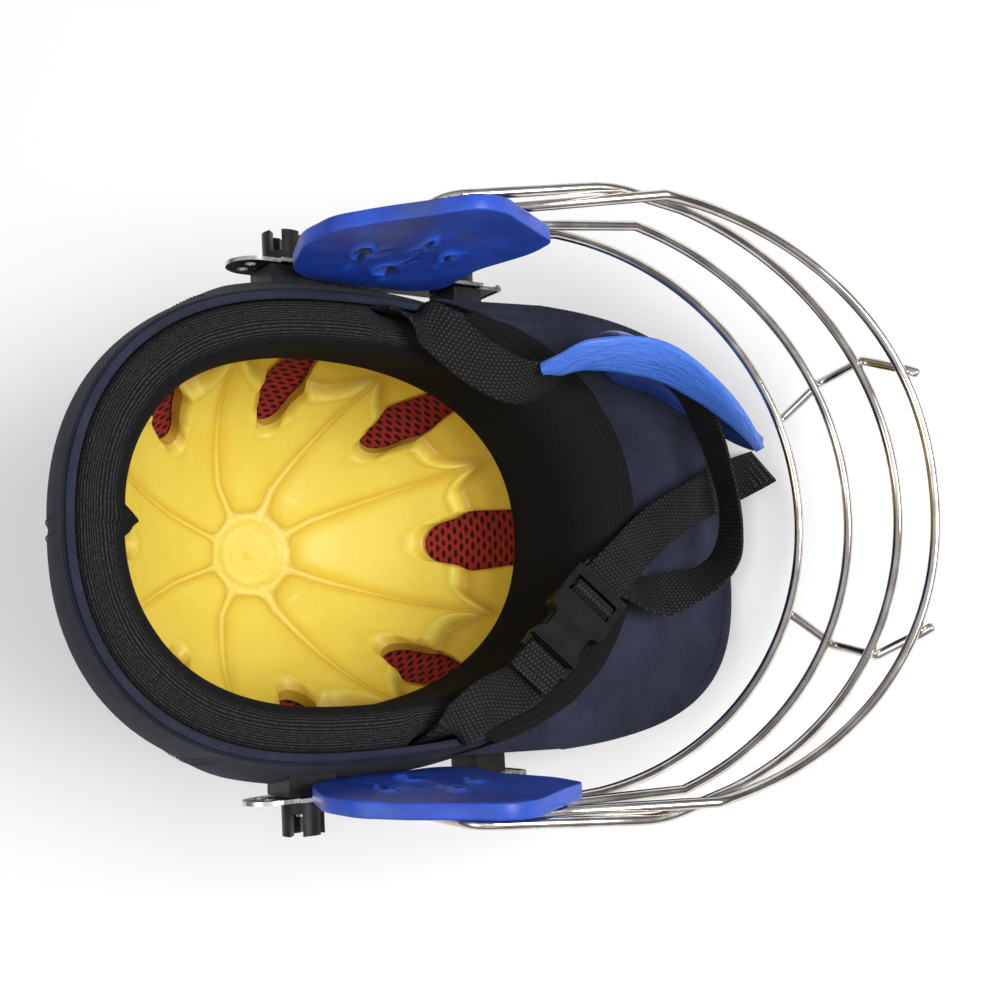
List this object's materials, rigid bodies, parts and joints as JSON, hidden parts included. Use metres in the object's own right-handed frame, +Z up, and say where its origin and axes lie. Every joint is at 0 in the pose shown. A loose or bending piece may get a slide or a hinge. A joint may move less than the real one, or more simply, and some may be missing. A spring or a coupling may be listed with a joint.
{
  "type": "batting helmet with face guard",
  "caption": "Cloth-covered batting helmet with a peak, padded liner and a wire face guard bolted to side plates, lying crown down.",
  "frame": {"origin": "middle of the bounding box, on the floor it rests on", "axes": "+X towards the front of the helmet, level with the floor, +Y towards the wearer's right, +Z up; the helmet lies crown down, tipped onto the front edge of its peak"},
  "size_m": [0.3533, 0.2388, 0.2363],
  "materials": {
    "shell_plastic": "smooth moulded wall",
    "navy_cloth": "fine twill",
    "navy_piping": "satin cord",
    "red_mesh": "open knitted mesh",
    "yellow_foam": "moulded skin, satin",
    "black_knit": "ribbed knit",
    "black_paint": "gloss paint with bare edges",
    "black_plastic": "moulded",
    "steel": "zinc plated",
    "bright_wire": "polished",
    "blue_foam": "closed-cell foam skin",
    "webbing": "ribbed webbing",
    "blue_leatherette": "creased coated cloth"
  },
  "bodies": {
    "helmet": {"outer_shell": "shell_plastic", "shell_cover": "navy_cloth", "rim_piping": "navy_piping", "peak_board": "black_plastic", "peak_cloth_under": "navy_cloth", "peak_cloth_top": "navy_cloth", "spacer_mesh": "red_mesh", "crown_liner": "yellow_foam", "headband_pad": "black_knit", "rear_spacers": "black_plastic", "front_spacers": "black_plastic", "side_screws": "steel", "chin_strap_right": "webbing", "chin_strap_left": "webbing", "strap_rivets": "steel", "chin_cup_outer": "blue_leatherette", "chin_cup_lining": "blue_leatherette", "buckle_socket": "black_plastic"},
    "face_guard": {"side_plate_right": "black_paint", "side_plate_left": "black_paint", "grille_bar_top": "bright_wire", "grille_bar_upper": "bright_wire", "grille_bar_lower": "bright_wire", "grille_bar_chin": "bright_wire", "grille_struts": "bright_wire", "side_pad_right": "blue_foam", "side_pad_left": "blue_foam"},
    "buckle_plug": {"buckle_plug": "black_plastic"},
    "thumb_nut_rear_right": {"thumb_nut_rear_right": "black_plastic"},
    "thumb_nut_front_right": {"thumb_nut_front_right": "black_plastic"},
    "thumb_nut_rear_left": {"thumb_nut_rear_left": "black_plastic"},
    "thumb_nut_front_left": {"thumb_nut_front_left": "black_plastic"}
  },
  "joints": [
    {"name": "grille_tilt", "type": "hinge", "parent": "helmet", "child": "face_guard", "pos_m": [-0.07791, 0, 0.15091], "axis": [0, 1, 0], "range_deg": [-5, 2.5]},
    {"name": "rear_right_nut_turn", "type": "hinge", "parent": "helmet", "child": "thumb_nut_rear_right", "pos_m": [-0.07791, 0.1136, 0.15091], "axis": [0, 1, 0], "continuous": true},
    {"name": "front_right_nut_turn", "type": "hinge", "parent": "helmet", "child": "thumb_nut_front_right", "pos_m": [-0.02044, 0.1136, 0.09242], "axis": [0, 1, 0], "continuous": true},
    {"name": "rear_left_nut_turn", "type": "hinge", "parent": "helmet", "child": "thumb_nut_rear_left", "pos_m": [-0.07791, -0.1136, 0.15091], "axis": [0, -1, 0], "continuous": true},
    {"name": "front_left_nut_turn", "type": "hinge", "parent": "helmet", "child": "thumb_nut_front_left", "pos_m": [-0.02044, -0.1136, 0.09242], "axis": [0, -1, 0], "continuous": true},
    {"name": "buckle_release", "type": "slide", "parent": "helmet", "child": "buckle_plug", "axis": [-0.5372, -0.6816, 0.4969], "range_m": [0, 0.018], "deforming": ["chin_strap_left"]}
  ]
}
